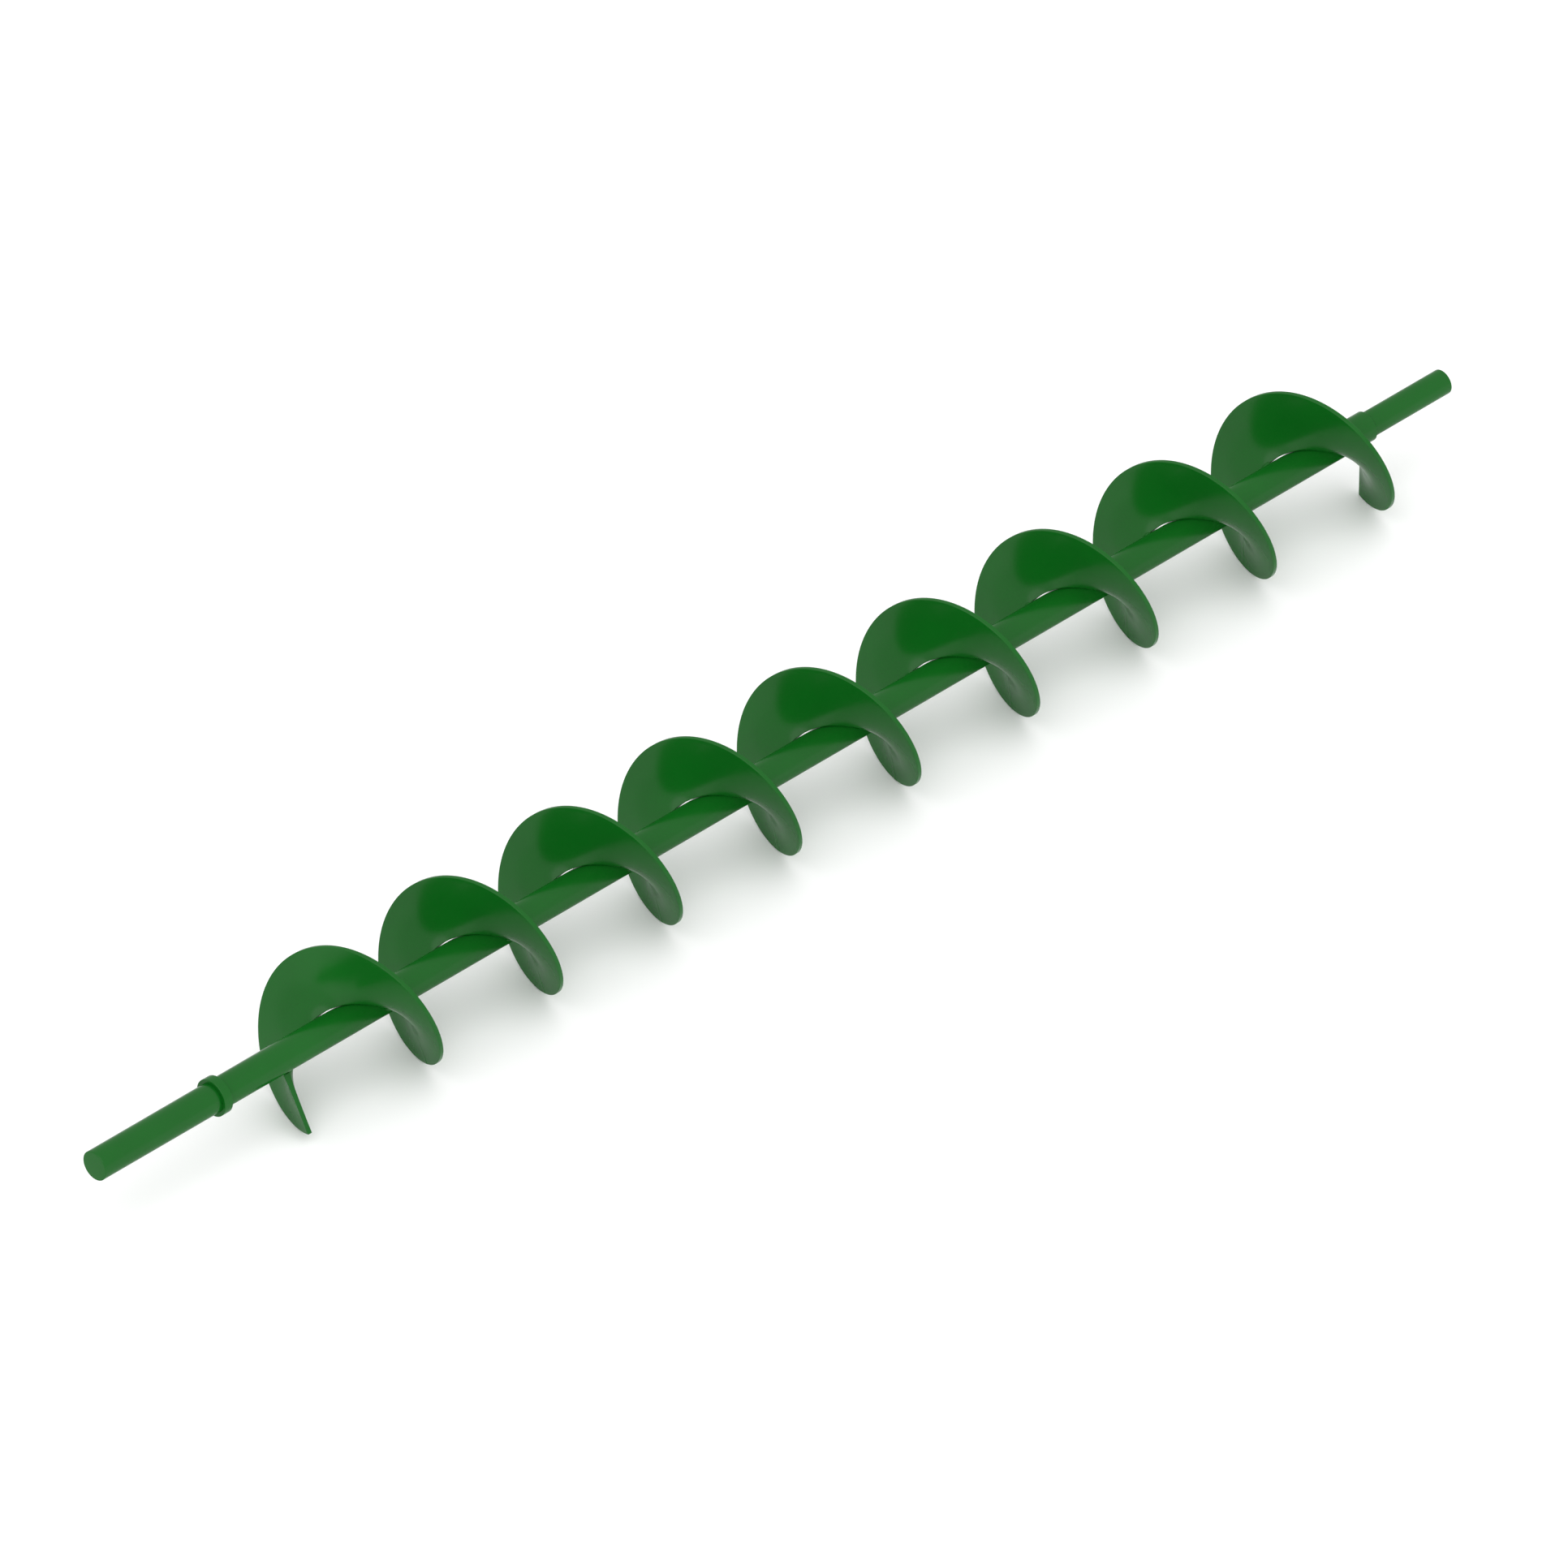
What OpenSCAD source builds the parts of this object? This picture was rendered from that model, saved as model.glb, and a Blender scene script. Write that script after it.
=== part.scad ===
// Right-hand helicoid screw auger: one-turn pressed flights, stitch welded to a round tube
// that they clear slightly, with a plain round journal at each end and a thrust collar
// at the drive end.
// Millimetres. +X runs along the shaft from the drive end to the tail end, +Z is up.
// The origin is on the shaft axis at the collar's outer face.

/* [Flighting] */
// Outside diameter of the flighting
flight_d = 153; // [120:1:200]
// Distance the helix advances in one turn
pitch = 153; // [120:1:156]
// Thickness of the flight plate
plate_t = 4.5; // [3:0.1:5]
// Number of one-turn flights, welded end to end
flights = 9; // [2:1:9]
// Turn from the first cut edge to the last, in degrees
total_turn = 3272.8; // [720:0.1:3272.8]
// Angle of the first cut edge, from the back over the top
first_cut = 238.8; // [0:0.1:359.9]
// Where the helix starts along the shaft
flight_x = 87.5; // [40:0.5:87.5]
// Clearance between the bore of the flights and the tube
bore_clearance = 1; // [0.4:0.1:1.2]

/* [Tube] */
// Outside diameter of the centre tube
tube_d = 30; // [28:0.1:32]
// Wall thickness of the centre tube
tube_wall = 3; // [2.6:0.1:3.4]
// Distance from the origin to the tube's tail end
tube_end = 1483; // [1483:0.5:1600]

/* [Journals] */
// Bare length of the drive journal beyond the collar
drive_len = 148; // [80:1:200]
// Diameter of the tail journal
tail_d = 25; // [24.8:0.1:27]
// Bare length of the tail journal beyond the tube
tail_len = 100; // [60:1:160]
// Length of each turned spigot inside the tube
spigot_len = 80; // [40:1:120]
// Chamfer on the bar ends
bar_chamfer = 0.5; // [0.2:0.1:1]

/* [Collar] */
// Outside diameter of the thrust collar
collar_d = 38; // [36:0.5:48]
// Width of the thrust collar
collar_w = 10; // [8:0.5:16]
// Chamfer on the collar's outer edges
collar_chamfer = 0.5; // [0.2:0.1:1]

/* [Welds] */
// Leg of the stitch welds at the root of the flights
root_leg = 2.2; // [1.5:0.1:3]
// Steps of the flight that one stitch weld covers
stitch_steps = 7; // [4:1:9]
// Angle that a butt weld between two flights covers
seam_angle = 2.4; // [1:0.1:4]
// Crown of a butt weld above the plate
seam_crown = 0.3; // [0.1:0.1:1]
// Leg of the ring weld behind the collar
collar_leg = 2.2; // [1.5:0.1:2.6]
// Gap between the tube's tail end and the tail journal's shoulder, filled with weld
tail_gap = 2; // [1:0.1:3]

/* [Resolution] */
// Steps along one flight
flight_steps = 54; // [36:1:72]
// Bands across each side of a flight, from its root welds to its rim
plate_bands = 4; // [2:1:6]
// Facets around a full circle
$fn = 96; // [48:8:144]

/* [Hidden] */
paint = [0.17, 0.42, 0.18];
weld_paint = [0.20, 0.46, 0.21];

tube_r = tube_d / 2;
bore_r = tube_r - tube_wall;
tail_r = tail_d / 2;
collar_r = collar_d / 2;
flight_r = flight_d / 2;
drive_end = -drive_len;
tail_end = tube_end + tail_len;

// the share of the helix that one flight takes, with half a weld at each joint
flight_turn = total_turn / flights;
seam_half = seam_angle / 2;
root_r = tube_r + bore_clearance;
root_top_r = root_r + root_leg;
// a weld's toe clears the tube by this much even at the middle of a facet
toe_clearance = 0.02;
toe_r = (tube_r + toe_clearance) / cos(flight_turn / flight_steps / 2);
// radii of the corners in the plate's section. The bands widen in proportion to their
// radius, so that all of them keep about as close to the true helical surface.
band_growth = pow(flight_r / root_top_r, 1 / plate_bands);
plate_radii = [root_r, for (i = [0:plate_bands]) root_top_r * pow(band_growth, i)];
// the stitch welds of one flight, staggered over both faces: the step at which each
// begins, and its face, -1 on the drive side and 1 on the tail side
stitches = [[0, 1], [11, -1], [29, 1], [44, -1]];
// how far a stitch weld reaches in under the plate
stitch_reach = 1.5;
// depth of the small relief where the collar's face meets the drive journal
seat_relief = 0.1;

// Where the middle of the plate lies along the shaft at an angle.
function helix_x(angle) = flight_x + pitch * (angle - first_cut) / 360;

// How much longer a distance across the plate is when it is measured along the shaft.
function slant(r) = sqrt(1 + pow(pitch / (2 * PI * r), 2));

function half_plate(r) = plate_t / 2 * slant(r);

// Angle of the joint after flight k, or of the first cut when k is 0.
function joint_angle(k) = first_cut + k * flight_turn;

// The stations of flight k, from half a weld past one joint to half a weld before the next.
function flight_angles(k) =
    let (
        from = joint_angle(k - 1) + (k > 1 ? seam_half : 0),
        to = joint_angle(k) - (k < flights ? seam_half : 0)
    )
    [for (j = [0:flight_steps]) from + (to - from) * j / flight_steps];

// A section is a closed outline of [offset along the shaft, radius] points. This one is
// the plate: out along its tail side and back along its drive side.
function plate_section(crown = 0) =
    let (side = [for (r = plate_radii) [half_plate(r) + crown, r]])
    concat(side, [for (i = [len(side) - 1:-1:0]) [-side[i][0], side[i][1]]]);

// The end of a section with mirrored sides, as strips between points of equal radius.
function strips(n) = [for (i = [0:n / 2 - 2]) [i, i + 1, n - 2 - i, n - 1 - i]];

// Two triangles between neighbouring points i and k of rings j and j + 1. The diagonal
// always climbs outwards along the helix, so that surfaces in contact match exactly.
function side_facets(section, j, i, k) =
    let (
        n = len(section),
        a = j * n + i,
        b = a + n,
        d = j * n + k,
        c = d + n
    )
    section[i][1] <= section[k][1] ? [[a, b, c], [a, c, d]] : [[a, b, d], [b, c, d]];

// Carries sections along the helix, one to each angle, and closes both ends.
module helical_solid(sections, angles, end_faces) {
    n = len(sections[0]);
    last = len(angles) - 1;
    points = [for (j = [0:last]) for (p = sections[j])
        [helix_x(angles[j]) + p[0], p[1] * cos(angles[j]), p[1] * sin(angles[j])]];
    sides = [for (j = [0:last - 1]) for (i = [0:n - 1])
        each side_facets(sections[0], j, i, (i + 1) % n)];
    far_faces = [for (f = end_faces) [for (i = [len(f) - 1:-1:0]) last * n + f[i]]];
    polyhedron(points, concat(sides, end_faces, far_faces));
}

// Turns an outline of [radius, distance along the shaft] points about the shaft axis.
module turned(outline) {
    rotate([0, 90, 0])
        rotate_extrude()
            polygon(outline);
}

module flight(k) {
    angles = flight_angles(k);
    section = plate_section();
    color(paint)
        helical_solid([for (a = angles) section], angles, strips(len(section)));
}

// A fillet weld between flight k and the tube, from the flight's station first. side is
// -1 on the drive side of the plate and 1 on its tail side.
module stitch_weld(k, first, side) {
    stations = flight_angles(k);
    angles = [for (j = [0:stitch_steps]) stations[first + j]];
    corner = half_plate(root_r);
    inner = [side * (corner - stitch_reach), toe_r];
    toe = [side * (corner + root_leg * slant(root_r)), toe_r];
    top = [side * half_plate(root_top_r), root_top_r];
    edge = [side * corner, root_r];
    section = side > 0 ? [inner, toe, top, edge] : [edge, top, toe, inner];
    helical_solid([for (a = angles) section], angles, [[0, 1, 2, 3]]);
}

module stitch_welds(k) {
    color(weld_paint)
        for (stitch = stitches) {
            stitch_weld(k, stitch[0], stitch[1]);
        }
}

// The full-depth weld between flight k and the next, crowned on both faces.
module butt_weld(k) {
    flush = plate_section();
    crowned = plate_section(seam_crown);
    angles = [for (side = [-1:1]) joint_angle(k) + side * seam_half];
    color(weld_paint)
        helical_solid([flush, crowned, flush], angles, strips(len(flush)));
}

module shaft_tube() {
    color(paint)
        turned([
            [bore_r, collar_w],
            [tube_r, collar_w],
            [tube_r, tube_end],
            [bore_r, tube_end]
        ]);
}

// Solid bar with a tapered shoulder in the collar and a turned spigot into the tube.
module drive_journal() {
    spigot_end = collar_w + spigot_len;
    color(paint)
        turned([
            [0, drive_end],
            [tube_r - bar_chamfer, drive_end],
            [tube_r, drive_end + bar_chamfer],
            [tube_r, 0],
            [bore_r, tube_wall],
            [bore_r, spigot_end - bar_chamfer],
            [bore_r - bar_chamfer, spigot_end],
            [0, spigot_end]
        ]);
}

// Solid bar with a turned spigot in the tube and a weld gap before its shoulder.
module tail_journal() {
    spigot_start = tube_end - spigot_len;
    shoulder = tube_end + tail_gap;
    color(paint)
        turned([
            [0, spigot_start],
            [bore_r - bar_chamfer, spigot_start],
            [bore_r, spigot_start + bar_chamfer],
            [bore_r, shoulder],
            [tail_r, shoulder],
            [tail_r, tail_end - bar_chamfer],
            [tail_r - bar_chamfer, tail_end],
            [0, tail_end]
        ]);
}

// Ring held on the drive journal's spigot, between its tapered shoulder and the tube.
module thrust_collar() {
    color(paint)
        turned([
            [bore_r, tube_wall],
            [tube_r - seat_relief, seat_relief],
            [tube_r + seat_relief, seat_relief],
            [tube_r + seat_relief, 0],
            [collar_r - collar_chamfer, 0],
            [collar_r, collar_chamfer],
            [collar_r, collar_w - collar_chamfer],
            [collar_r - collar_chamfer, collar_w],
            [bore_r, collar_w]
        ]);
}

module collar_weld() {
    color(weld_paint)
        turned([
            [tube_r, collar_w],
            [tube_r + collar_leg, collar_w],
            [tube_r, collar_w + collar_leg]
        ]);
}

// Fills the gap at the tube's tail end and slopes down to the tail journal.
module tail_weld() {
    color(weld_paint)
        turned([
            [bore_r, tube_end],
            [tube_r, tube_end],
            [tail_r, tube_end + tail_gap],
            [bore_r, tube_end + tail_gap]
        ]);
}

shaft_tube();
drive_journal();
tail_journal();
thrust_collar();
collar_weld();
tail_weld();
for (k = [1:flights]) {
    flight(k);
    stitch_welds(k);
}
for (k = [1:flights - 1]) {
    butt_weld(k);
}
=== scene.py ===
"""Looks for the screw auger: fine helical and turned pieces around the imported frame.

Metres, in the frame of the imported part: +X along the shaft from the drive end to the tail
end, +Z up, the origin on the axis at the thrust collar's outer face. Angles on the helix
are in degrees. They run from the back (+Y) over the top (+Z), and grow towards the tail end.
"""

import math

import bpy
import numpy as np
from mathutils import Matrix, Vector


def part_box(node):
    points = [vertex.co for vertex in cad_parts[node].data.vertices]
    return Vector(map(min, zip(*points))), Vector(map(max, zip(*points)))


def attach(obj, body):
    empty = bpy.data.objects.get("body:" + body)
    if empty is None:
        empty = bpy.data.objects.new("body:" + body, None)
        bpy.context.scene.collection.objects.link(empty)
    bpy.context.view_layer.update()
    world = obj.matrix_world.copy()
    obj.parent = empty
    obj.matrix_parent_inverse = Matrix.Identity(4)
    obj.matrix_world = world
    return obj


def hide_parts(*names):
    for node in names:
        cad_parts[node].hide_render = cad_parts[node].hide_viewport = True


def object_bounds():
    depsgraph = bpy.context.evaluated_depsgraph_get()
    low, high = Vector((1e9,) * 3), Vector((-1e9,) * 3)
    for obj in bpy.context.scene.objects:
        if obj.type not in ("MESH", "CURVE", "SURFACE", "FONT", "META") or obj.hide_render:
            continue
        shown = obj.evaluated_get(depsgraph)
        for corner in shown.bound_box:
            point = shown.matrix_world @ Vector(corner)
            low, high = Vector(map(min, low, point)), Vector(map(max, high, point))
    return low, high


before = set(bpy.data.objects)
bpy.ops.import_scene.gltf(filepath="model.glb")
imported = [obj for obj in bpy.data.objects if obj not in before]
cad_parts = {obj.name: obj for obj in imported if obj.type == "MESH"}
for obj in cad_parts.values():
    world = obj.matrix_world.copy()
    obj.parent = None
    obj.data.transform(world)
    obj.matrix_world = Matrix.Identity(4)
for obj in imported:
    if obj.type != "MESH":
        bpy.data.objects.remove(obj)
cad_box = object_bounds()

# ---------------------------------------------------------------- sizes

MM = 0.001

# the helix, as the part's source has it
PITCH = 153 * MM
FIRST_CUT = 238.8              # angle of the first flight's cut end
TOTAL_TURN = 3272.8            # from the first cut end to the last
PLATE = 4.5 * MM               # thickness of the plate
BORE_CLEARANCE = 1.0 * MM      # between the bore of the flights and the tube

# the shaft, as the part's source has it
WALL = 3 * MM                  # of the tube
SEAT_RELIEF = 0.1 * MM         # where the collar's face meets the drive journal
BAR_CHAMFER = 0.5 * MM

# the stitch welds of one flight, as the part's source has them: the step of the flight at
# which each begins, and its face, -1 on the drive side and 1 on the tail side
STITCHES = ((0, 1), (11, -1), (29, 1), (44, -1))
STITCH_STEPS = 7               # steps that one stitch covers
FLIGHT_STEPS = 54              # steps in a flight
STITCH_REACH = 1.5 * MM        # how far a stitch reaches in under the plate
SEAM_ANGLE = 2.4               # turn between two flights that a butt weld takes in the CAD

# rounding
EDGE_ROUND = 0.6 * MM          # of the plate's rim and cut ends
BORE_ROUND = 0.4 * MM          # of the plate's bore
BAR_ROUND = 0.3 * MM           # of the tube's and the bars' corners
COLLAR_ROUND = 2 * BAR_ROUND
CORNER_SHARE = 0.45            # the most of a side that one rounded corner takes

# weld beads
EMBED = 0.35 * MM              # how far a bead reaches into the metal under it
ROOT_LEG = 2.1 * MM            # leg of a stitch
ROOT_CROWN = 0.2 * MM
COLLAR_CROWN = 0.2 * MM
TAIL_CROWN = 0.3 * MM
TIP_LENGTH = 1.4 * ROOT_LEG    # of the rounded end of a stitch
TIP_START = 0.03               # where on it the mesh starts, so that the tip isn't a point
SEAM_WIDTH = 6.5 * MM
SEAM_CROWN = 0.1 * MM          # height of a seam's middle over the plate's surface
SEAM_DIP = 0.03 * MM           # depth of a seam's edges under the plate's surface
SEAM_RIPPLE = 0.1              # share of the ripples left after the seam was dressed

# the ripples of a bead
RIPPLE_PITCH = 1.9 * MM
RIPPLE_DEPTH = 0.07 * MM
RIPPLE_TRAIL = 0.35            # pitches by which a ripple's ends trail its middle
RIPPLE_VALLEY = 0.35           # weight of the second wave, which deepens its valleys

# how a hand-laid bead's size varies: the share of it, and the waves that make up the
# variation, each with its weight, its metres to a radian and its shift by the seed
WANDER = 0.07
WANDER_WAVES = ((0.6, 13 * MM, 1), (0.4, 4.7 * MM, 2.3))
STITCH_SEED = 1.7              # step of the seed from one flight's stitches to the next's
SEAM_SEED = 2.1                # step of the seed from one seam to the next

# mesh density
STEPS_PER_TURN = 240
CUT_STATIONS = 2               # plain stations that the rounded edge of a cut end replaces
RADIAL_STEPS = 18
BORE_CROWDING = 1.35           # the power that crowds the radial steps towards the bore
ROUND_STEPS = 5
RIPPLE_STEPS = 6
STITCH_ACROSS = 9              # points across the face of a stitch
SEAM_ACROSS = 13
RING_ACROSS = 11
TURNED_STEPS = 192
TURNED_LENGTH = 20 * MM        # the least length of the steps along a turned piece's long side

FLIGHTS = sum(1 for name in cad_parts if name.startswith("flight_"))


def far_corner(node):
    """The highest corner of a CAD node's box."""
    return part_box(node)[1]


def span(node):
    """Where a CAD node starts and ends along the shaft."""
    low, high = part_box(node)
    return low.x, high.x


TUBE_R = far_corner("shaft_tube").z
TAIL_R = far_corner("tail_journal").z
COLLAR_R = far_corner("thrust_collar").z
FLIGHT_R = max(far_corner(f"flight_{k}").z for k in range(1, FLIGHTS + 1))
BORE_R = TUBE_R - WALL
ROOT_R = TUBE_R + BORE_CLEARANCE
FLIGHT_TURN = TOTAL_TURN / FLIGHTS


def helix_start():
    """Where the helix begins: one flight's advance before the first butt weld's middle."""
    low, high = span("butt_weld_1")
    return (low + high) / 2 - PITCH * FLIGHT_TURN / 360


HELIX_X = helix_start()


def helix_x(angle):
    """Where the middle of the plate lies along the shaft at an angle."""
    return HELIX_X + PITCH * (angle - FIRST_CUT) / 360


def joint_angle(k):
    """The angle of the joint after flight k, or of the first cut end when k is 0."""
    return FIRST_CUT + k * FLIGHT_TURN


def slant(r):
    """How much longer a distance across the plate is when it is measured along the shaft."""
    return np.sqrt(1 + (PITCH / (2 * math.pi * r)) ** 2)


def arc_rate(r):
    """Metres along the helix at radius r for one degree of turn."""
    return np.sqrt(r ** 2 + (PITCH / (2 * math.pi)) ** 2) * math.pi / 180


# ---------------------------------------------------------------- mesh helpers

def paired(offset, radius):
    """[offset, radius] points from two arrays or numbers."""
    return np.stack(np.broadcast_arrays(offset, radius), axis=-1)


def around_axis(x, radius, turn):
    """Points at a place along the shaft, a radius and a turn in radians, as arrays."""
    return np.stack(np.broadcast_arrays(x, radius * np.cos(turn), radius * np.sin(turn)), axis=-1)


def on_helix(section, angle):
    """The [offset, radius] points of a section, each carried to its angle on the helix."""
    offset, radius = section[..., 0], section[..., 1]
    return around_axis(helix_x(angle) + offset, radius, np.radians(angle))


def grid_faces(rows, columns, close_rows=False):
    """Quads over a grid of points, closed round each row and, if asked, from row to row."""
    faces = []
    for i in range(rows if close_rows else rows - 1):
        for j in range(columns):
            below, after = (i + 1) % rows, (j + 1) % columns
            faces.append((
                i * columns + j,
                i * columns + after,
                below * columns + after,
                below * columns + j,
            ))
    return faces


def end_caps(rows, columns):
    """One face over each end of a swept section, wound to match the sides."""
    last = (rows - 1) * columns
    return [tuple(reversed(range(columns))), tuple(range(last, last + columns))]


def make_outward(mesh):
    """Turns every face outward, judged by the sign of the closed mesh's volume."""
    mesh.calc_loop_triangles()
    corners = np.zeros(len(mesh.loop_triangles) * 3, np.int32)
    mesh.loop_triangles.foreach_get("vertices", corners)
    places = np.zeros(len(mesh.vertices) * 3)
    mesh.vertices.foreach_get("co", places)
    a, b, c = places.reshape(-1, 3)[corners.reshape(-1, 3)].transpose(1, 0, 2)
    if np.einsum("ij,ij->i", a, np.cross(b, c)).sum() < 0:
        mesh.flip_normals()


def make_piece(name, points, faces, material, node, flat_faces=0):
    """A mesh object that rides the body and stands for a CAD node.

    The last flat_faces faces are shaded flat, and the others smooth.
    """
    mesh = bpy.data.meshes.new(name)
    mesh.from_pydata(points.reshape(-1, 3).tolist(), [], faces)
    mesh.validate()
    smooth = np.ones(len(mesh.polygons), bool)
    if flat_faces:
        smooth[-flat_faces:] = False
    mesh.polygons.foreach_set("use_smooth", smooth)
    mesh.materials.append(material)
    mesh.update()
    make_outward(mesh)
    piece = bpy.data.objects.new(name, mesh)
    bpy.context.scene.collection.objects.link(piece)
    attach(piece, "root")
    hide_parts(node)


def arc(centre_x, centre_y, radius, start, end):
    """Points along an arc, angles in degrees."""
    turn = np.radians(np.linspace(start, end, ROUND_STEPS + 1))
    return paired(centre_x + radius * np.cos(turn), centre_y + radius * np.sin(turn))


def ripple(distance, across):
    """Crescent ripples of a weld bead: across runs from -1 to 1 over its width."""
    phase = 2 * math.pi * (distance / RIPPLE_PITCH + RIPPLE_TRAIL * across ** 2)
    wave = np.cos(phase) - RIPPLE_VALLEY * np.cos(2 * phase)
    return RIPPLE_DEPTH * wave * (1 - across ** 2)


def wander(distance, seed):
    """The factor by which a hand-laid bead's size varies slowly along it."""
    waves = [weight * np.sin(distance / length + shift * seed)
             for weight, length, shift in WANDER_WAVES]
    return 1 + WANDER * sum(waves)


# ---------------------------------------------------------------- flights

def plate_outline():
    """The plate's section as [offset, radius] points: from the bore out along one side,
    and back along the other, with its edges rounded."""
    low, high = ROOT_R + BORE_ROUND, FLIGHT_R - EDGE_ROUND
    share = np.linspace(0, 1, RADIAL_STEPS + 1) ** BORE_CROWDING
    radii = low + (high - low) * share
    half = PLATE / 2 * slant(radii)
    bore_edge = arc(half[0] - BORE_ROUND, low, BORE_ROUND, -90, 0)[:-1]
    rim_edge = arc(half[-1] - EDGE_ROUND, high, EDGE_ROUND, 0, 90)[1:]
    near = np.concatenate([bore_edge, paired(half, radii), rim_edge])
    return np.concatenate([near, near[::-1] * [-1, 1]])


def shrunk(outline, by):
    """The section with its sides, rim and bore moved in."""
    offset, radius = outline.T
    inset = np.sign(offset) * np.minimum(by * slant(radius), np.abs(offset))
    rim = np.clip((radius - (FLIGHT_R - 2 * EDGE_ROUND)) / (2 * EDGE_ROUND), 0, 1)
    bore = np.clip((ROOT_R + 2 * BORE_ROUND - radius) / (2 * BORE_ROUND), 0, 1)
    return paired(offset - inset, radius - by * rim + by * bore)


def cut_edge(outline, cut, inwards):
    """Stations over the rounded edge of a cut end, each a section and its angles, from the
    flight to the cut. inwards is the way into the flight: 1 as the angle grows, else -1."""
    turn = np.radians(np.linspace(0, 90, ROUND_STEPS + 1))
    shrink, inside = EDGE_ROUND * (1 - np.cos(turn)), EDGE_ROUND * (1 - np.sin(turn))
    return [(shrunk(outline, by), cut + inwards * depth / arc_rate(outline[:, 1]))
            for by, depth in zip(shrink, inside)]


def flight_stations(k):
    """The sections of flight k and the angles of their points, one row to a station."""
    outline = plate_outline()
    start, end = joint_angle(k - 1), joint_angle(k)
    steps = round(STEPS_PER_TURN * FLIGHT_TURN / 360)
    rows = [(outline, np.full(len(outline), a)) for a in np.linspace(start, end, steps + 1)]
    if k == 1:
        rows = cut_edge(outline, start, 1)[::-1] + rows[CUT_STATIONS:]
    if k == FLIGHTS:
        rows = rows[:-CUT_STATIONS] + cut_edge(outline, end, -1)
    sections, angles = zip(*rows)
    return np.stack(sections), np.stack(angles)


def section_caps(rows, columns):
    """Strips that close the first and last section of a swept plate, wound to match the
    sides."""
    half = columns // 2
    first = [(columns - 1 - i, columns - 2 - i, i + 1, i) for i in range(half - 1)]
    base = (rows - 1) * columns
    return first + [tuple(base + i for i in reversed(face)) for face in first]


def make_flight(k, material):
    sections, angles = flight_stations(k)
    caps = section_caps(*angles.shape)
    make_piece(f"flight_plate_{k}", on_helix(sections, angles), grid_faces(*angles.shape) + caps,
               material, f"flight_{k}", flat_faces=len(caps))


# ---------------------------------------------------------------- welds

def make_bead(name, sections, angles, material, node):
    """A weld swept along the helix, closed at both ends."""
    faces = grid_faces(*angles.shape) + end_caps(*angles.shape)
    make_piece(name, on_helix(sections, angles), faces, material, node)


def stitch_angles(k, first):
    """The angles at which a stitch weld of flight k starts and ends."""
    start = joint_angle(k - 1) + (SEAM_ANGLE / 2 if k > 1 else 0)
    end = joint_angle(k) - (SEAM_ANGLE / 2 if k < FLIGHTS else 0)
    step = (end - start) / FLIGHT_STEPS
    return start + first * step, start + (first + STITCH_STEPS) * step


def tip_taper(distance):
    """The share of its full size that a stitch has along its length, with rounded ends."""
    to_end = np.clip(np.minimum(distance, distance[::-1]) / TIP_LENGTH, TIP_START, 1)
    return np.sqrt(1 - (1 - to_end) ** 2)


def stitch_sections(distance, seed):
    """The sections of a stitch weld: its face from the plate down to the tube, and then
    round behind it."""
    taper = tip_taper(distance)
    size = taper * wander(distance, seed)
    leg = ROOT_LEG * size
    half_root = PLATE / 2 * slant(ROOT_R)
    top = paired(PLATE / 2 * slant(ROOT_R + leg), ROOT_R + leg)
    toe = paired(half_root + leg * slant(ROOT_R), TUBE_R)

    across = np.linspace(-1, 1, STITCH_ACROSS)[None, :]
    rise = (ROOT_CROWN * (1 - across ** 2) + ripple(distance, across)) * size
    diagonal = math.sqrt(0.5)      # the face leans halfway between the plate and the tube
    line = top + (toe - top) * (across[..., None] + 1) / 2
    face = line + paired(rise * slant(TUBE_R) * diagonal, rise * diagonal)

    # down into the tube, in under the plate, up into its bore, and out inside the plate
    reach = half_root - STITCH_REACH * taper
    behind = [
        toe - paired(EMBED * taper, EMBED),
        paired(reach, TUBE_R - EMBED),
        paired(reach, ROOT_R + EMBED),
        top - paired(2 * EMBED * taper, 0),
    ]
    return np.concatenate([face, *behind], axis=1)


def make_stitch_weld(k, number, first, side, material):
    """A rippled fillet bead between flight k and the tube, with rounded ends."""
    start, end = stitch_angles(k, first)
    rate = arc_rate(TUBE_R)
    steps = int((end - start) * rate / RIPPLE_PITCH * RIPPLE_STEPS)
    angle = np.linspace(start, end, steps + 1)[:, None]
    sections = stitch_sections((angle - start) * rate, STITCH_SEED * k + number)
    angles = np.broadcast_to(angle, sections.shape[:2])
    make_bead(f"stitch_bead_{k}_{number}", sections * [side, 1], angles, material,
              f"stitch_welds_{k}")


def resampled(outline, spacing):
    """The outline with evenly spaced points, and the distance along it at each."""
    steps = np.linalg.norm(np.diff(outline, axis=0), axis=1)
    distance = np.concatenate([[0], np.cumsum(steps)])
    even = np.linspace(0, distance[-1], int(distance[-1] / spacing) + 1)
    return paired(*(np.interp(even, distance, values) for values in outline.T)), even


def outward(outline):
    """Unit normals that point out of the plate's section."""
    tangent = np.gradient(outline, axis=0)
    normal = paired(tangent[:, 1], -tangent[:, 0])
    normal /= np.linalg.norm(normal, axis=1)[:, None]
    if normal[0, 0] * outline[0, 0] < 0:
        normal = -normal
    return normal


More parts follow.
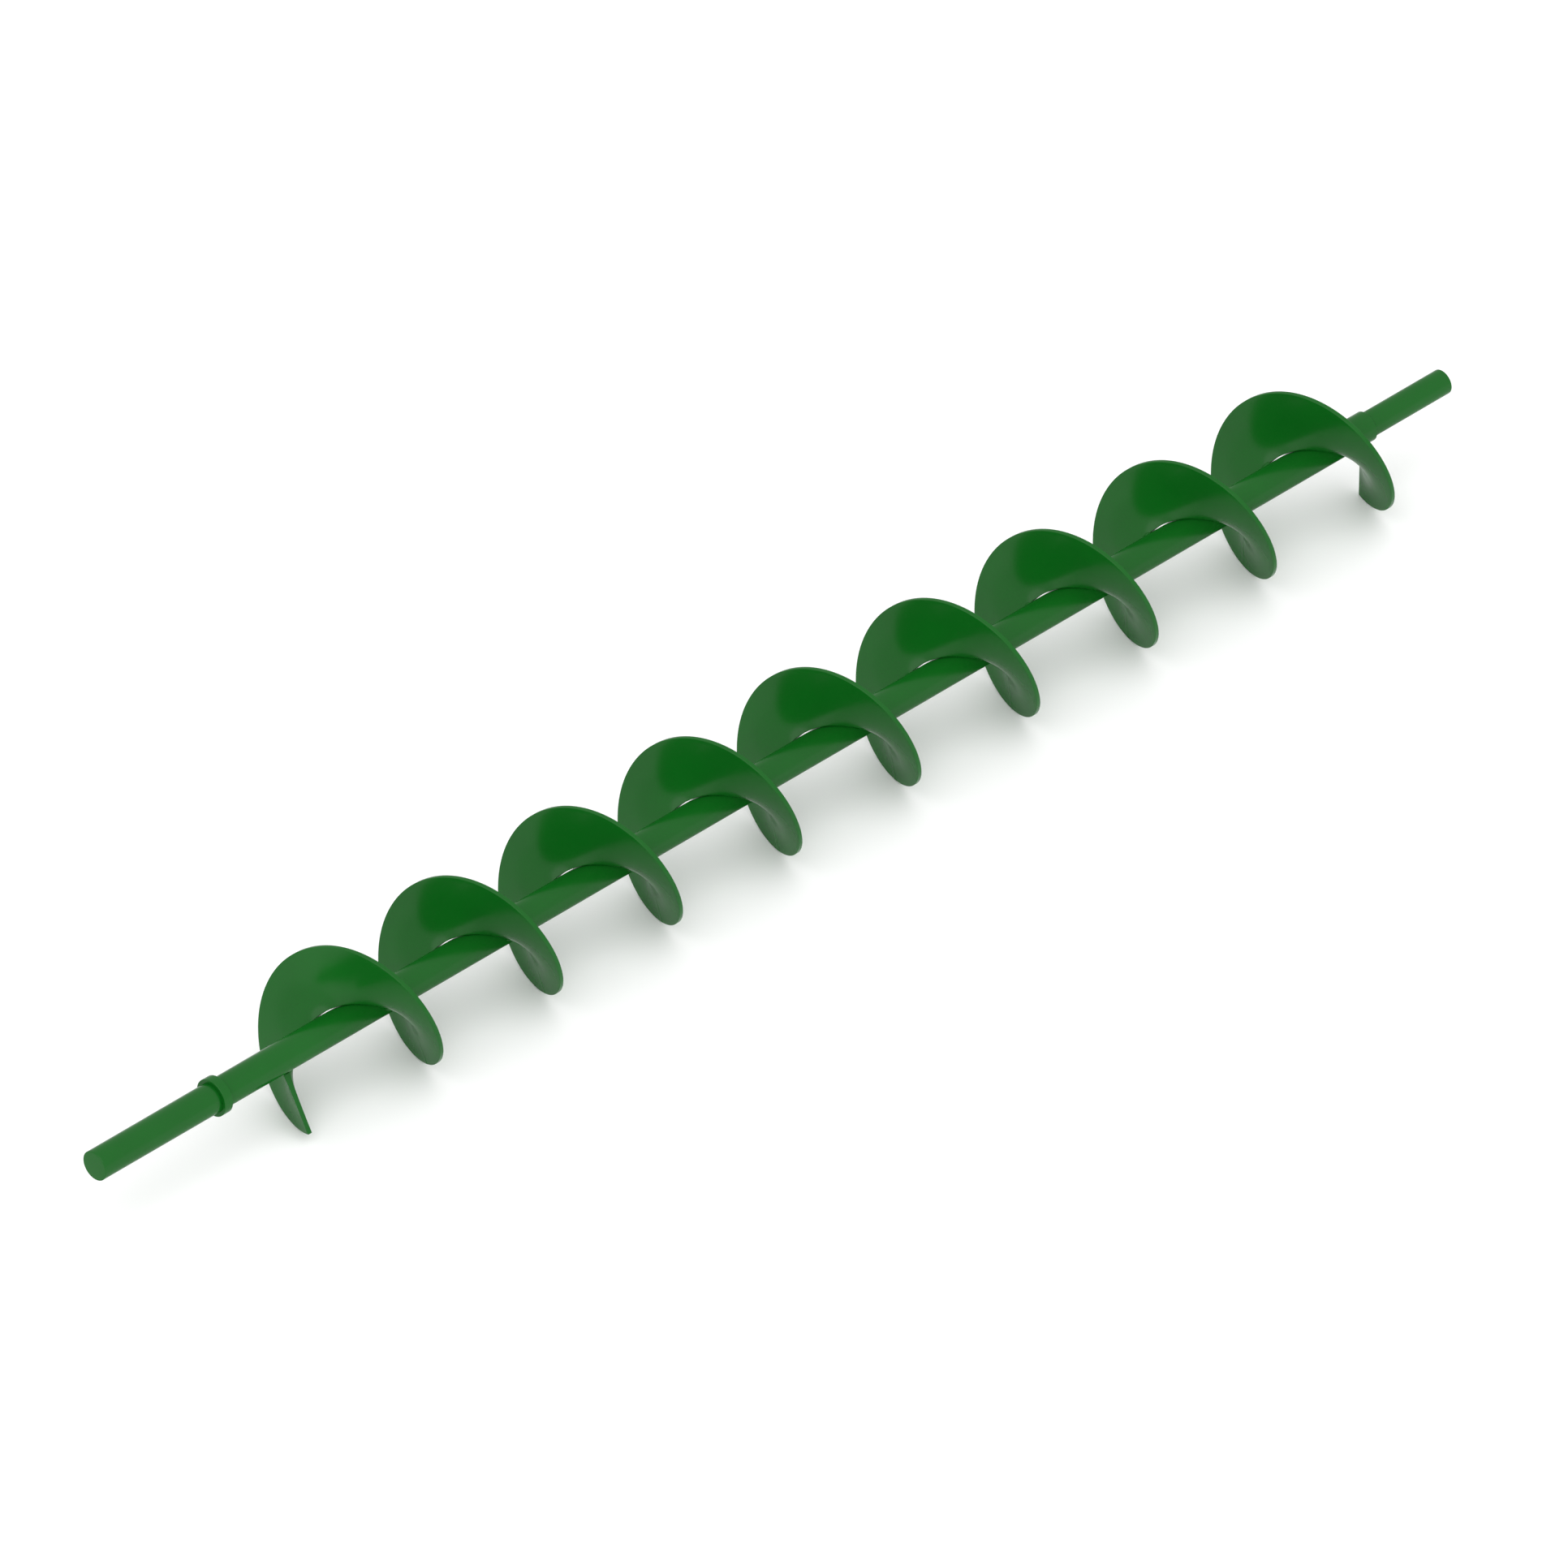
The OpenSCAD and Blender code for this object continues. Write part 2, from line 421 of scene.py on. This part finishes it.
def make_butt_weld(k, material):
    """A dressed seam that wraps the plate's section where flight k meets the next."""
    outline = plate_outline()
    outline = outline[outline[:, 1] > ROOT_R + 2 * BORE_ROUND]
    outline, distance = resampled(outline, RIPPLE_PITCH / RIPPLE_STEPS)
    distance = distance[:, None]
    across = np.linspace(-1, 1, SEAM_ACROSS)[None, :]
    width = SEAM_WIDTH * wander(distance, SEAM_SEED * k)
    angles = joint_angle(k) + across * width / 2 / arc_rate(outline[:, 1:])
    rise = (SEAM_CROWN + SEAM_DIP) * (1 - across ** 2) - SEAM_DIP
    rise = rise + SEAM_RIPPLE * ripple(distance, across)

    # one more point to a row, inside the plate under the seam's middle, closes its section
    angles = np.column_stack([angles, np.full(len(outline), joint_angle(k))])
    rise = np.column_stack([rise, np.full(len(outline), -EMBED)])
    away = outward(outline) * paired(slant(outline[:, 1]), 1)
    sections = outline[:, None, :] + away[:, None, :] * rise[..., None]
    make_bead(f"butt_seam_{k}", sections, angles, material, f"butt_weld_{k}")


def make_ring_weld(name, node, start, end, crown, material):
    """A rippled ring bead on the shaft, from start to end as (x, radius) points."""
    ripples = int(2 * math.pi * TUBE_R / RIPPLE_PITCH)
    steps = ripples * RIPPLE_STEPS
    turn = np.linspace(0, 2 * math.pi, steps, endpoint=False)[:, None]
    across = np.linspace(-1, 1, RING_ACROSS)[None, :]
    # distance along the ring, scaled so that a whole number of ripples goes round
    distance = turn / (2 * math.pi) * ripples * RIPPLE_PITCH
    rise = crown * (1 - across ** 2) + ripple(distance, across)
    start, end = np.array(start), np.array(end)
    tangent = (end - start) / np.linalg.norm(end - start)
    normal = np.array([-tangent[1], tangent[0]])
    line = start + (end - start) * (across[..., None] + 1) / 2
    face = line + rise[..., None] * normal

    # back under the bead, inside the metal
    depth = min(start[1], end[1]) - EMBED
    under = [np.broadcast_to([x, depth], (steps, 1, 2)) for x in (end[0], start[0])]
    section = np.concatenate([face, *under], axis=1)
    points = around_axis(section[..., 0], section[..., 1], turn)
    faces = grid_faces(steps, section.shape[1], close_rows=True)
    make_piece(name, points, faces, material, node)


# ---------------------------------------------------------------- turned pieces

def rounded(profile, radius):
    """A closed profile of (x, radius) corners, with every corner off the axis rounded."""
    profile = np.array(profile, float)
    out = []
    for before, here, after in zip(np.roll(profile, 1, 0), profile, np.roll(profile, -1, 0)):
        if here[1] == 0:
            out.append(here[None])
            continue
        to_before, to_after = before - here, after - here
        sides = np.linalg.norm(to_before), np.linalg.norm(to_after)
        reach = min(radius, CORNER_SHARE * min(sides))
        start = here + to_before / sides[0] * reach
        end = here + to_after / sides[1] * reach
        t = np.linspace(0, 1, ROUND_STEPS + 1)[:, None]
        out.append((1 - t) ** 2 * start + 2 * t * (1 - t) * here + t ** 2 * end)
    return np.concatenate(out)


def divided(outline):
    """The outline without its last point, and with its long straight sides in steps."""
    sides = []
    for start, end in zip(outline, outline[1:]):
        steps = max(1, int(np.linalg.norm(end - start) / TURNED_LENGTH))
        sides.append(start + (end - start) * np.linspace(0, 1, steps, endpoint=False)[:, None])
    return np.concatenate(sides)


def turned(outline):
    """An outline of (x, radius) points carried round the shaft axis, one row to a point."""
    turn = np.linspace(0, 2 * math.pi, TURNED_STEPS, endpoint=False)[None, :]
    return around_axis(outline[:, :1], outline[:, 1:], turn)


def make_bar(name, node, profile, material):
    """A solid bar from its half section, a profile that starts and ends on the axis."""
    outline = divided(rounded(profile, BAR_ROUND))[1:]
    rows = len(outline)
    poles = [(profile[0][0], 0, 0), (profile[-1][0], 0, 0)]
    points = np.concatenate([turned(outline).reshape(-1, 3), poles])
    first_pole = rows * TURNED_STEPS
    last_pole = first_pole + 1
    last_row = first_pole - TURNED_STEPS
    faces = grid_faces(rows, TURNED_STEPS)
    for j in range(TURNED_STEPS):
        after = (j + 1) % TURNED_STEPS
        faces.append((first_pole, after, j))
        faces.append((last_pole, last_row + j, last_row + after))
    make_piece(name, points, faces, material, node)


def make_ring(name, node, profile, radius, material):
    """A hollow turned piece from its half section, with its corners rounded to a radius."""
    outline = rounded(profile, radius)
    outline = divided(np.concatenate([outline, outline[:1]]))
    faces = grid_faces(len(outline), TURNED_STEPS, close_rows=True)
    make_piece(name, turned(outline), faces, material, node)


def make_tube(material):
    low, high = span("shaft_tube")
    profile = [(low, BORE_R), (low, TUBE_R), (high, TUBE_R), (high, BORE_R)]
    make_ring("centre_tube", "shaft_tube", profile, BAR_ROUND, material)


def make_drive_bar(material):
    """The drive journal, with a tapered shoulder in the collar and a spigot into the tube."""
    low, high = span("drive_journal")
    face = span("thrust_collar")[0]
    make_bar("drive_bar", "drive_journal", [
        (low, 0), (low, TUBE_R - BAR_CHAMFER), (low + BAR_CHAMFER, TUBE_R),
        (face, TUBE_R), (face + WALL, BORE_R), (high - BAR_CHAMFER, BORE_R),
        (high, BORE_R - BAR_CHAMFER), (high, 0),
    ], material)


def make_tail_bar(material):
    """The tail journal, with a spigot in the tube and a square shoulder behind its weld."""
    low, high = span("tail_journal")
    shoulder = span("tail_weld")[1]
    make_bar("tail_bar", "tail_journal", [
        (low, 0), (low, BORE_R - BAR_CHAMFER), (low + BAR_CHAMFER, BORE_R),
        (shoulder, BORE_R), (shoulder, TAIL_R), (high - BAR_CHAMFER, TAIL_R),
        (high, TAIL_R - BAR_CHAMFER), (high, 0),
    ], material)


def make_collar(material):
    """The thrust collar, countersunk for the drive journal's shoulder."""
    low, high = span("thrust_collar")
    make_ring("collar_ring", "thrust_collar", [
        (low + WALL, BORE_R), (low + SEAT_RELIEF, TUBE_R - SEAT_RELIEF),
        (low + SEAT_RELIEF, TUBE_R + SEAT_RELIEF), (low, TUBE_R + SEAT_RELIEF),
        (low, COLLAR_R), (high, COLLAR_R), (high, BORE_R),
    ], COLLAR_ROUND, material)


def make_ring_welds(material):
    collar_face = span("thrust_collar")[1]
    leg = far_corner("collar_weld").z - TUBE_R
    make_ring_weld("collar_bead", "collar_weld", (collar_face, TUBE_R + leg),
                   (collar_face + leg, TUBE_R), COLLAR_CROWN, material)
    tube_end, shoulder = span("shaft_tube")[1], span("tail_weld")[1]
    make_ring_weld("tail_bead", "tail_weld", (tube_end, TUBE_R), (shoulder, TAIL_R),
                   TAIL_CROWN, material)


# ---------------------------------------------------------------- paint

PAINT = (0.0028, 0.101, 0.0072)
ROUGHNESS = (0.195, 0.255)     # from the glossiest patch to the dullest
GLOSS = 0.02                   # specular level of the pigment
COAT = 0.17                    # the thin gloss film over the pigment
COAT_IOR = 2.0
COAT_ROUGHNESS = 0.2

# noise scales, in features to a metre
CLOUD_SCALE = 14
PATCH_SCALE = 36
DUST_SCALE = 420
PEEL_SCALE = 520

NOISE_RANGE = (0.3, 0.7)       # where nearly all of a noise's values lie
CLOUD_SHADES = (0.93, 1.07)    # the darkest and lightest film, as shares of the paint
DUST_RANGE = (0.45, 0.62)      # noise values from a clean spot to a dusty one
DUST_COVER = 0.22              # how much of the dust's own colour a dusty spot shows
DUST_SHADE = 0.94
DUST_GREY = 0.004
PEEL_STRENGTH = 0.35
PEEL_DEPTH = 0.05 * MM
WELD_PEEL = 1.3                # how much stronger the orange peel is on the welds
GRAIN_STRENGTH = 0.5

# the grain of the metal under the paint: how it is stretched along each axis, its scale and
# its depth
DRAWN_GRAIN = ((0.04, 1, 1), 160, 0.03 * MM)
LATHE_GRAIN = ((1, 0.02, 0.02), 900, 0.02 * MM)


def noise(tree, where, scale, detail, roughness=0.5):
    """A noise value, mostly within NOISE_RANGE."""
    node = tree.nodes.new("ShaderNodeTexNoise")
    node.inputs["Scale"].default_value = scale
    node.inputs["Detail"].default_value = detail
    node.inputs["Roughness"].default_value = roughness
    tree.links.new(where, node.inputs["Vector"])
    return node.outputs["Fac"]


def ranged(tree, value, to_range, from_range=NOISE_RANGE):
    """A value carried from one range to another, and kept within it."""
    node = tree.nodes.new("ShaderNodeMapRange")
    node.inputs["From Min"].default_value, node.inputs["From Max"].default_value = from_range
    node.inputs["To Min"].default_value, node.inputs["To Max"].default_value = to_range
    tree.links.new(value, node.inputs["Value"])
    return node.outputs["Result"]


def mixed(tree, factor, a, b):
    """A colour between a and b, each a colour or a socket."""
    node = tree.nodes.new("ShaderNodeMix")
    node.data_type = "RGBA"
    tree.links.new(factor, node.inputs["Factor"])
    for socket, value in (("A", a), ("B", b)):
        target = [s for s in node.inputs if s.name == socket and s.type == "RGBA"][0]
        if isinstance(value, tuple):
            target.default_value = (*value, 1)
        else:
            tree.links.new(value, target)
    return [s for s in node.outputs if s.type == "RGBA"][0]


def bump(tree, height, strength, depth, under=None):
    """A normal that a height bumps, added to another normal if there is one under it."""
    node = tree.nodes.new("ShaderNodeBump")
    node.inputs["Strength"].default_value = strength
    node.inputs["Distance"].default_value = depth
    tree.links.new(height, node.inputs["Height"])
    if under:
        tree.links.new(under, node.inputs["Normal"])
    return node.outputs["Normal"]


def shade(colour, by, plus=0.0):
    return tuple(c * by + plus for c in colour)


def paint_colour(tree, where):
    """The pigment: a film with faint clouds, and fine dust in it."""
    cloud = ranged(tree, noise(tree, where, CLOUD_SCALE, detail=4), (0, 1))
    film = mixed(tree, cloud, *(shade(PAINT, by) for by in CLOUD_SHADES))
    specks = noise(tree, where, DUST_SCALE, detail=2)
    dust = ranged(tree, specks, (0, DUST_COVER), DUST_RANGE)
    return mixed(tree, dust, film, shade(PAINT, DUST_SHADE, DUST_GREY))


def paint_normal(tree, where, peel, grain):
    """Orange peel, with the grain of the metal where it shows through."""
    height = noise(tree, where, PEEL_SCALE, detail=2)
    normal = bump(tree, height, PEEL_STRENGTH * peel, PEEL_DEPTH)
    if grain:
        stretch, scale, depth = grain
        mapping = tree.nodes.new("ShaderNodeMapping")
        mapping.inputs["Scale"].default_value = stretch
        tree.links.new(where, mapping.inputs["Vector"])
        height = noise(tree, mapping.outputs["Vector"], scale, detail=4)
        normal = bump(tree, height, GRAIN_STRENGTH, depth, under=normal)
    return normal


def make_paint(name, peel=1.0, grain=None):
    """Sprayed green enamel under a gloss film, which both follow the same fine bumps."""
    material = bpy.data.materials.new(name)
    material.use_nodes = True
    tree = material.node_tree
    shader = tree.nodes["Principled BSDF"]
    where = tree.nodes.new("ShaderNodeTexCoord").outputs["Object"]
    normal = paint_normal(tree, where, peel, grain)
    patches = noise(tree, where, PATCH_SCALE, detail=5, roughness=0.6)
    tree.links.new(paint_colour(tree, where), shader.inputs["Base Color"])
    tree.links.new(ranged(tree, patches, ROUGHNESS), shader.inputs["Roughness"])
    tree.links.new(normal, shader.inputs["Normal"])
    tree.links.new(normal, shader.inputs["Coat Normal"])
    shader.inputs["Specular IOR Level"].default_value = GLOSS
    shader.inputs["Coat Weight"].default_value = COAT
    shader.inputs["Coat IOR"].default_value = COAT_IOR
    shader.inputs["Coat Roughness"].default_value = COAT_ROUGHNESS
    return material


# ---------------------------------------------------------------- stage

CAMERA_AZIMUTH = -44.2
CAMERA_ELEVATION = 36.78
VIEW_WIDTH = 1.4428            # metres across the picture
LENS = 1700.0                  # millimetres, so long that the view is nearly parallel
SENSOR = 36.0                  # millimetres
CLIP_START = 1.0
CLIP_DISTANCES = 3             # the far clip, in camera distances
# the picture's middle, from a point on the shaft axis: along the picture, then up it
AXIS_POINT = Vector((0.67146, 0, 0))
AIM_RIGHT = 0.0429
AIM_UP = 0.0073

FLOOR_REACH = 200              # metres each way
FLOOR_COLOUR = (0.98, 0.98, 0.98, 1)
FLOOR_ROUGHNESS = 0.9
FLOOR_SPECULAR = 0.1

SKY_STRENGTH = 1.0
SUN_STRENGTH = 1.0
SUN_SIZE = 70                  # degrees across, for soft shadows
SUN_DIRECTION = Vector((-0.5, -0.6, 1.4))


def make_camera():
    azimuth, elevation = math.radians(CAMERA_AZIMUTH), math.radians(CAMERA_ELEVATION)
    back = Vector((
        math.sin(azimuth) * math.cos(elevation),
        -math.cos(azimuth) * math.cos(elevation),
        math.sin(elevation),
    ))
    turn = back.to_track_quat("Z", "Y")
    right, up = turn @ Vector((1, 0, 0)), turn @ Vector((0, 1, 0))
    distance = VIEW_WIDTH * LENS / SENSOR
    data = bpy.data.cameras.new("camera")
    data.lens = LENS
    data.sensor_width = SENSOR
    data.clip_start = CLIP_START
    data.clip_end = CLIP_DISTANCES * distance
    camera = bpy.data.objects.new("camera", data)
    camera.location = AXIS_POINT + AIM_RIGHT * right + AIM_UP * up + back * distance
    camera.rotation_mode = "QUATERNION"
    camera.rotation_quaternion = turn
    bpy.context.scene.collection.objects.link(camera)
    bpy.context.scene.camera = camera


def make_floor():
    """A plain white floor at the height of the part's lowest point."""
    corners = [(x * FLOOR_REACH, y * FLOOR_REACH, cad_box[0].z)
               for x, y in ((-1, -1), (1, -1), (1, 1), (-1, 1))]
    mesh = bpy.data.meshes.new("floor")
    mesh.from_pydata(corners, [], [(0, 1, 2, 3)])
    material = bpy.data.materials.new("floor_white")
    material.use_nodes = True
    shader = material.node_tree.nodes["Principled BSDF"]
    shader.inputs["Base Color"].default_value = FLOOR_COLOUR
    shader.inputs["Roughness"].default_value = FLOOR_ROUGHNESS
    shader.inputs["Specular IOR Level"].default_value = FLOOR_SPECULAR
    mesh.materials.append(material)
    floor = bpy.data.objects.new("floor", mesh)
    bpy.context.scene.collection.objects.link(floor)


def make_light():
    """White light from all round, and one wide soft sun."""
    world = bpy.data.worlds.new("studio")
    world.use_nodes = True
    background = world.node_tree.nodes["Background"]
    background.inputs["Color"].default_value = (1, 1, 1, 1)
    background.inputs["Strength"].default_value = SKY_STRENGTH
    bpy.context.scene.world = world
    sun = bpy.data.lights.new("key", "SUN")
    sun.energy = SUN_STRENGTH
    sun.angle = math.radians(SUN_SIZE)
    key = bpy.data.objects.new("key", sun)
    key.rotation_euler = SUN_DIRECTION.to_track_quat("Z", "Y").to_euler()
    bpy.context.scene.collection.objects.link(key)
    bpy.context.scene.view_settings.view_transform = "Standard"


# ---------------------------------------------------------------- build

make_camera()
make_floor()
make_light()

flight_paint = make_paint("flight_paint")
tube_paint = make_paint("tube_paint", grain=DRAWN_GRAIN)
journal_paint = make_paint("journal_paint", grain=LATHE_GRAIN)
weld_paint = make_paint("weld_paint", peel=WELD_PEEL)

make_tube(tube_paint)
make_drive_bar(journal_paint)
make_tail_bar(journal_paint)
make_collar(journal_paint)
make_ring_welds(weld_paint)
for k in range(1, FLIGHTS + 1):
    make_flight(k, flight_paint)
    for number, (first, side) in enumerate(STITCHES, 1):
        make_stitch_weld(k, number, first, side, weld_paint)
for k in range(1, FLIGHTS):
    make_butt_weld(k, weld_paint)
